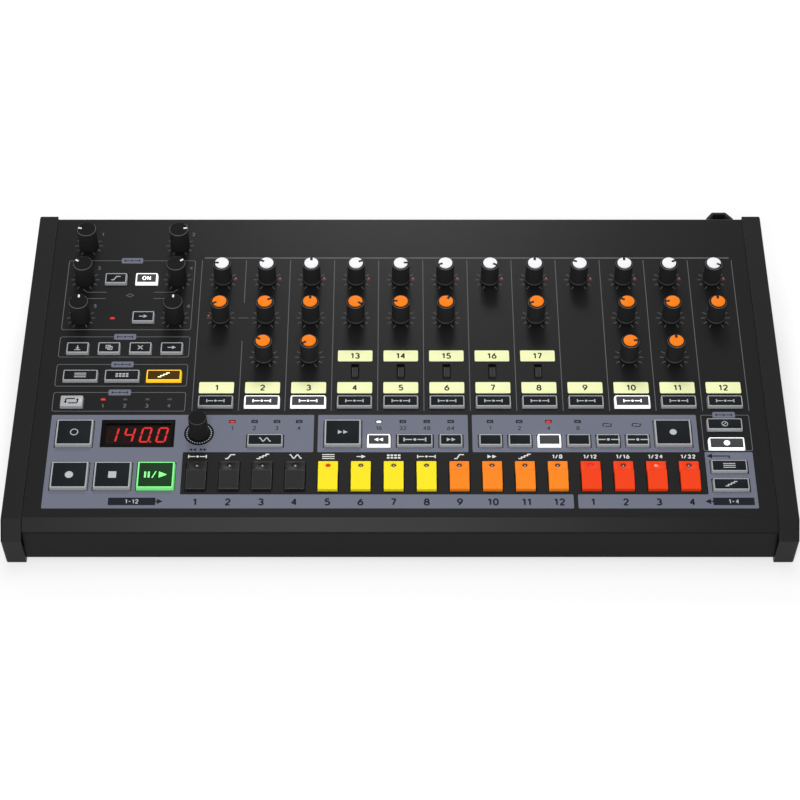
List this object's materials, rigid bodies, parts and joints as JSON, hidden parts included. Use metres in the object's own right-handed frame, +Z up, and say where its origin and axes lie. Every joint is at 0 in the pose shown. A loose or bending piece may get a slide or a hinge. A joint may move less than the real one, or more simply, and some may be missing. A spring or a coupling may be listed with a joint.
{
  "type": "drum machine",
  "caption": "Desktop drum machine with a sloping panel of knobs, lit keys, a red digit display and coloured step keys between two end cheeks.",
  "frame": {"origin": "on the standing surface, under the middle of the whole outline (cheek noses to cable hook)", "axes": "+X to the operator's right, +Y to the rear, +Z up"},
  "size_m": [0.498, 0.2806, 0.0787],
  "materials": {
    "panel_paint": "fine matt black paint",
    "pan_paint": "matt black paint",
    "cheek_plastic": "satin black moulding",
    "foot_rubber": "matt black rubber",
    "screw_steel": "blackened steel",
    "board_laminate": "green solder mask",
    "standoff_brass": "plain brass",
    "potentiometer_case": "plain metal can",
    "switch_case": "black moulding",
    "lamp_red": "red diffused lens",
    "window_smoke": "smoked red-black window",
    "module_black": "black digit module",
    "connector_black": "black sockets with plated nuts",
    "hook_paint": "matt black paint",
    "knob_black": "satin black knob, white or orange cap",
    "key_grey": "translucent grey key with a dark face",
    "key_black": "satin black key",
    "key_yellow": "satin yellow key",
    "key_orange": "satin orange key",
    "key_red": "satin red key",
    "slider_grey": "dark grey lever"
  },
  "bodies": {
    "chassis": {"top_panel": "panel_paint", "base_pan": "pan_paint", "left_cheek": "cheek_plastic", "right_cheek": "cheek_plastic", "rubber_feet": "foot_rubber", "case_screws": "screw_steel", "circuit_boards": "board_laminate", "board_standoffs": "standoff_brass", "potentiometers": "potentiometer_case", "switch_bodies": "switch_case", "indicator_lights": "lamp_red", "display_window": "window_smoke", "display_module": "module_black", "rear_connectors": "connector_black", "cable_hook": "hook_paint"},
    "accent_level_knob": {"accent_level_knob": "knob_black"},
    "bass_drum_level_knob": {"bass_drum_level_knob": "knob_black"},
    "snare_drum_level_knob": {"snare_drum_level_knob": "knob_black"},
    "low_tom_level_knob": {"low_tom_level_knob": "knob_black"},
    "mid_tom_level_knob": {"mid_tom_level_knob": "knob_black"},
    "high_tom_level_knob": {"high_tom_level_knob": "knob_black"},
    "rim_shot_level_knob": {"rim_shot_level_knob": "knob_black"},
    "hand_clap_level_knob": {"hand_clap_level_knob": "knob_black"},
    "cow_bell_level_knob": {"cow_bell_level_knob": "knob_black"},
    "cymbal_level_knob": {"cymbal_level_knob": "knob_black"},
    "open_hat_level_knob": {"open_hat_level_knob": "knob_black"},
    "closed_hat_level_knob": {"closed_hat_level_knob": "knob_black"},
    "accent_tone_knob": {"accent_tone_knob": "knob_black"},
    "bass_drum_tone_knob": {"bass_drum_tone_knob": "knob_black"},
    "snare_drum_tone_knob": {"snare_drum_tone_knob": "knob_black"},
    "low_tom_tone_knob": {"low_tom_tone_knob": "knob_black"},
    "mid_tom_tone_knob": {"mid_tom_tone_knob": "knob_black"},
    "high_tom_tone_knob": {"high_tom_tone_knob": "knob_black"},
    "hand_clap_tone_knob": {"hand_clap_tone_knob": "knob_black"},
    "cymbal_tone_knob": {"cymbal_tone_knob": "knob_black"},
    "open_hat_tone_knob": {"open_hat_tone_knob": "knob_black"},
    "closed_hat_tone_knob": {"closed_hat_tone_knob": "knob_black"},
    "bass_drum_decay_knob": {"bass_drum_decay_knob": "knob_black"},
    "snare_drum_decay_knob": {"snare_drum_decay_knob": "knob_black"},
    "cymbal_decay_knob": {"cymbal_decay_knob": "knob_black"},
    "open_hat_decay_knob": {"open_hat_decay_knob": "knob_black"},
    "effect_knob_1": {"effect_knob_1": "knob_black"},
    "effect_knob_2": {"effect_knob_2": "knob_black"},
    "effect_knob_3": {"effect_knob_3": "knob_black"},
    "effect_knob_4": {"effect_knob_4": "knob_black"},
    "effect_knob_5": {"effect_knob_5": "knob_black"},
    "effect_knob_6": {"effect_knob_6": "knob_black"},
    "data_encoder_knob": {"data_encoder_knob": "knob_black"},
    "select_keys": {"select_keys": "key_grey"},
    "function_keys": {"function_keys": "key_grey"},
    "pad_keys": {"pad_keys": "key_grey"},
    "record_key": {"record_key": "key_grey"},
    "stop_key": {"stop_key": "key_grey"},
    "play_key": {"play_key": "key_grey"},
    "step_keys_black": {"step_keys_black": "key_black"},
    "step_keys_yellow": {"step_keys_yellow": "key_yellow"},
    "step_keys_orange": {"step_keys_orange": "key_orange"},
    "step_keys_red": {"step_keys_red": "key_red"},
    "voice_switches": {"voice_switches": "slider_grey"},
    "power_rocker": {"power_rocker": "switch_case"}
  },
  "joints": [
    {"name": "accent_level_turn", "type": "hinge", "parent": "chassis", "child": "accent_level_knob", "pos_m": [-0.1195, 0.06787, 0.05779], "axis": [0, -0.1045, 0.9945], "range_deg": [-240, 60]},
    {"name": "bass_drum_level_turn", "type": "hinge", "parent": "chassis", "child": "bass_drum_level_knob", "pos_m": [-0.0895, 0.06787, 0.05779], "axis": [0, -0.1045, 0.9945], "range_deg": [-210, 90]},
    {"name": "snare_drum_level_turn", "type": "hinge", "parent": "chassis", "child": "snare_drum_level_knob", "pos_m": [-0.0595, 0.06787, 0.05779], "axis": [0, -0.1045, 0.9945], "range_deg": [-150, 150]},
    {"name": "low_tom_level_turn", "type": "hinge", "parent": "chassis", "child": "low_tom_level_knob", "pos_m": [-0.0295, 0.06787, 0.05779], "axis": [0, -0.1045, 0.9945], "range_deg": [-85, 215]},
    {"name": "mid_tom_level_turn", "type": "hinge", "parent": "chassis", "child": "mid_tom_level_knob", "pos_m": [0.0005, 0.06787, 0.05779], "axis": [0, -0.1045, 0.9945], "range_deg": [-60, 240]},
    {"name": "high_tom_level_turn", "type": "hinge", "parent": "chassis", "child": "high_tom_level_knob", "pos_m": [0.0305, 0.06787, 0.05779], "axis": [0, -0.1045, 0.9945], "range_deg": [-260, 40]},
    {"name": "rim_shot_level_turn", "type": "hinge", "parent": "chassis", "child": "rim_shot_level_knob", "pos_m": [0.0605, 0.06787, 0.05779], "axis": [0, -0.1045, 0.9945], "range_deg": [-35, 265]},
    {"name": "hand_clap_level_turn", "type": "hinge", "parent": "chassis", "child": "hand_clap_level_knob", "pos_m": [0.0905, 0.06787, 0.05779], "axis": [0, -0.1045, 0.9945], "range_deg": [-150, 150]},
    {"name": "cow_bell_level_turn", "type": "hinge", "parent": "chassis", "child": "cow_bell_level_knob", "pos_m": [0.1205, 0.06787, 0.05779], "axis": [0, -0.1045, 0.9945], "range_deg": [-215, 85]},
    {"name": "cymbal_level_turn", "type": "hinge", "parent": "chassis", "child": "cymbal_level_knob", "pos_m": [0.1505, 0.06787, 0.05779], "axis": [0, -0.1045, 0.9945], "range_deg": [-150, 150]},
    {"name": "open_hat_level_turn", "type": "hinge", "parent": "chassis", "child": "open_hat_level_knob", "pos_m": [0.1805, 0.06787, 0.05779], "axis": [0, -0.1045, 0.9945], "range_deg": [-85, 215]},
    {"name": "closed_hat_level_turn", "type": "hinge", "parent": "chassis", "child": "closed_hat_level_knob", "pos_m": [0.2105, 0.06787, 0.05779], "axis": [0, -0.1045, 0.9945], "range_deg": [-35, 265]},
    {"name": "accent_tone_turn", "type": "hinge", "parent": "chassis", "child": "accent_tone_knob", "pos_m": [-0.1195, 0.03405, 0.05424], "axis": [0, -0.1045, 0.9945], "range_deg": [-265, 35]},
    {"name": "bass_drum_tone_turn", "type": "hinge", "parent": "chassis", "child": "bass_drum_tone_knob", "pos_m": [-0.0895, 0.03405, 0.05424], "axis": [0, -0.1045, 0.9945], "range_deg": [-90, 210]},
    {"name": "snare_drum_tone_turn", "type": "hinge", "parent": "chassis", "child": "snare_drum_tone_knob", "pos_m": [-0.0595, 0.03405, 0.05424], "axis": [0, -0.1045, 0.9945], "range_deg": [-150, 150]},
    {"name": "low_tom_tone_turn", "type": "hinge", "parent": "chassis", "child": "low_tom_tone_knob", "pos_m": [-0.0295, 0.03405, 0.05424], "axis": [0, -0.1045, 0.9945], "range_deg": [-30, 270]},
    {"name": "mid_tom_tone_turn", "type": "hinge", "parent": "chassis", "child": "mid_tom_tone_knob", "pos_m": [0.0005, 0.03405, 0.05424], "axis": [0, -0.1045, 0.9945], "range_deg": [-240, 60]},
    {"name": "high_tom_tone_turn", "type": "hinge", "parent": "chassis", "child": "high_tom_tone_knob", "pos_m": [0.0305, 0.03405, 0.05424], "axis": [0, -0.1045, 0.9945], "range_deg": [-120, 180]},
    {"name": "hand_clap_tone_turn", "type": "hinge", "parent": "chassis", "child": "hand_clap_tone_knob", "pos_m": [0.0905, 0.03405, 0.05424], "axis": [0, -0.1045, 0.9945], "range_deg": [-260, 40]},
    {"name": "cymbal_tone_turn", "type": "hinge", "parent": "chassis", "child": "cymbal_tone_knob", "pos_m": [0.1505, 0.03405, 0.05424], "axis": [0, -0.1045, 0.9945], "range_deg": [-210, 90]},
    {"name": "open_hat_tone_turn", "type": "hinge", "parent": "chassis", "child": "open_hat_tone_knob", "pos_m": [0.1805, 0.03405, 0.05424], "axis": [0, -0.1045, 0.9945], "range_deg": [-240, 60]},
    {"name": "closed_hat_tone_turn", "type": "hinge", "parent": "chassis", "child": "closed_hat_tone_knob", "pos_m": [0.2105, 0.03405, 0.05424], "axis": [0, -0.1045, 0.9945], "range_deg": [-150, 150]},
    {"name": "bass_drum_decay_turn", "type": "hinge", "parent": "chassis", "child": "bass_drum_decay_knob", "pos_m": [-0.0895, 0.00024, 0.05068], "axis": [0, -0.1045, 0.9945], "range_deg": [-210, 90]},
    {"name": "snare_drum_decay_turn", "type": "hinge", "parent": "chassis", "child": "snare_drum_decay_knob", "pos_m": [-0.0595, 0.00024, 0.05068], "axis": [0, -0.1045, 0.9945], "range_deg": [-270, 30]},
    {"name": "cymbal_decay_turn", "type": "hinge", "parent": "chassis", "child": "cymbal_decay_knob", "pos_m": [0.1505, 0.00024, 0.05068], "axis": [0, -0.1045, 0.9945], "range_deg": [-60, 240]},
    {"name": "open_hat_decay_turn", "type": "hinge", "parent": "chassis", "child": "open_hat_decay_knob", "pos_m": [0.1805, 0.00024, 0.05068], "axis": [0, -0.1045, 0.9945], "range_deg": [-150, 150]},
    {"name": "effect_knob_1_turn", "type": "hinge", "parent": "chassis", "child": "effect_knob_1", "pos_m": [-0.21285, 0.0987, 0.06103], "axis": [0, -0.1045, 0.9945], "range_deg": [-230, 70]},
    {"name": "effect_knob_2_turn", "type": "hinge", "parent": "chassis", "child": "effect_knob_2", "pos_m": [-0.15035, 0.0987, 0.06103], "axis": [0, -0.1045, 0.9945], "range_deg": [-70, 230]},
    {"name": "effect_knob_3_turn", "type": "hinge", "parent": "chassis", "child": "effect_knob_3", "pos_m": [-0.21285, 0.06787, 0.05779], "axis": [0, -0.1045, 0.9945], "range_deg": [-210, 90]},
    {"name": "effect_knob_4_turn", "type": "hinge", "parent": "chassis", "child": "effect_knob_4", "pos_m": [-0.15035, 0.06787, 0.05779], "axis": [0, -0.1045, 0.9945], "range_deg": [-95, 205]},
    {"name": "effect_knob_5_turn", "type": "hinge", "parent": "chassis", "child": "effect_knob_5", "pos_m": [-0.21285, 0.03405, 0.05424], "axis": [0, -0.1045, 0.9945], "range_deg": [-150, 150]},
    {"name": "effect_knob_6_turn", "type": "hinge", "parent": "chassis", "child": "effect_knob_6", "pos_m": [-0.15035, 0.03405, 0.05424], "axis": [0, -0.1045, 0.9945], "range_deg": [-150, 150]},
    {"name": "data_encoder_turn", "type": "hinge", "parent": "chassis", "child": "data_encoder_knob", "pos_m": [-0.1288, -0.06281, 0.04406], "axis": [0, -0.1045, 0.9945], "continuous": true},
    {"name": "select_keys_press", "type": "slide", "parent": "chassis", "child": "select_keys", "axis": [0, 0.1045, -0.9945], "range_m": [0, 0.0012], "stiffness_N_per_m": 2000, "springref_m": -0.0005},
    {"name": "function_keys_press", "type": "slide", "parent": "chassis", "child": "function_keys", "axis": [0, 0.1045, -0.9945], "range_m": [0, 0.0012], "stiffness_N_per_m": 2000, "springref_m": -0.0005},
    {"name": "pad_keys_press", "type": "slide", "parent": "chassis", "child": "pad_keys", "axis": [0, 0.1045, -0.9945], "range_m": [0, 0.0012], "stiffness_N_per_m": 2000, "springref_m": -0.0005},
    {"name": "record_key_press", "type": "slide", "parent": "chassis", "child": "record_key", "axis": [0, 0.1045, -0.9945], "range_m": [0, 0.0012], "stiffness_N_per_m": 2000, "springref_m": -0.0005},
    {"name": "stop_key_press", "type": "slide", "parent": "chassis", "child": "stop_key", "axis": [0, 0.1045, -0.9945], "range_m": [0, 0.0012], "stiffness_N_per_m": 2000, "springref_m": -0.0005},
    {"name": "play_key_press", "type": "slide", "parent": "chassis", "child": "play_key", "axis": [0, 0.1045, -0.9945], "range_m": [0, 0.0012], "stiffness_N_per_m": 2000, "springref_m": -0.0005},
    {"name": "step_keys_black_press", "type": "slide", "parent": "chassis", "child": "step_keys_black", "axis": [0, 0.1045, -0.9945], "range_m": [0, 0.0015], "stiffness_N_per_m": 2000, "springref_m": -0.0005},
    {"name": "step_keys_yellow_press", "type": "slide", "parent": "chassis", "child": "step_keys_yellow", "axis": [0, 0.1045, -0.9945], "range_m": [0, 0.0015], "stiffness_N_per_m": 2000, "springref_m": -0.0005},
    {"name": "step_keys_orange_press", "type": "slide", "parent": "chassis", "child": "step_keys_orange", "axis": [0, 0.1045, -0.9945], "range_m": [0, 0.0015], "stiffness_N_per_m": 2000, "springref_m": -0.0005},
    {"name": "step_keys_red_press", "type": "slide", "parent": "chassis", "child": "step_keys_red", "axis": [0, 0.1045, -0.9945], "range_m": [0, 0.0015], "stiffness_N_per_m": 2000, "springref_m": -0.0005},
    {"name": "voice_switches_slide", "type": "slide", "parent": "chassis", "child": "voice_switches", "axis": [0, 0.9945, 0.1045], "range_m": [0, 0.0036]},
    {"name": "power_rocker_tilt", "type": "hinge", "parent": "chassis", "child": "power_rocker", "pos_m": [0.172, 0.12155, 0.0275], "axis": [0, 0, 1], "range_deg": [-24, 0]}
  ]
}
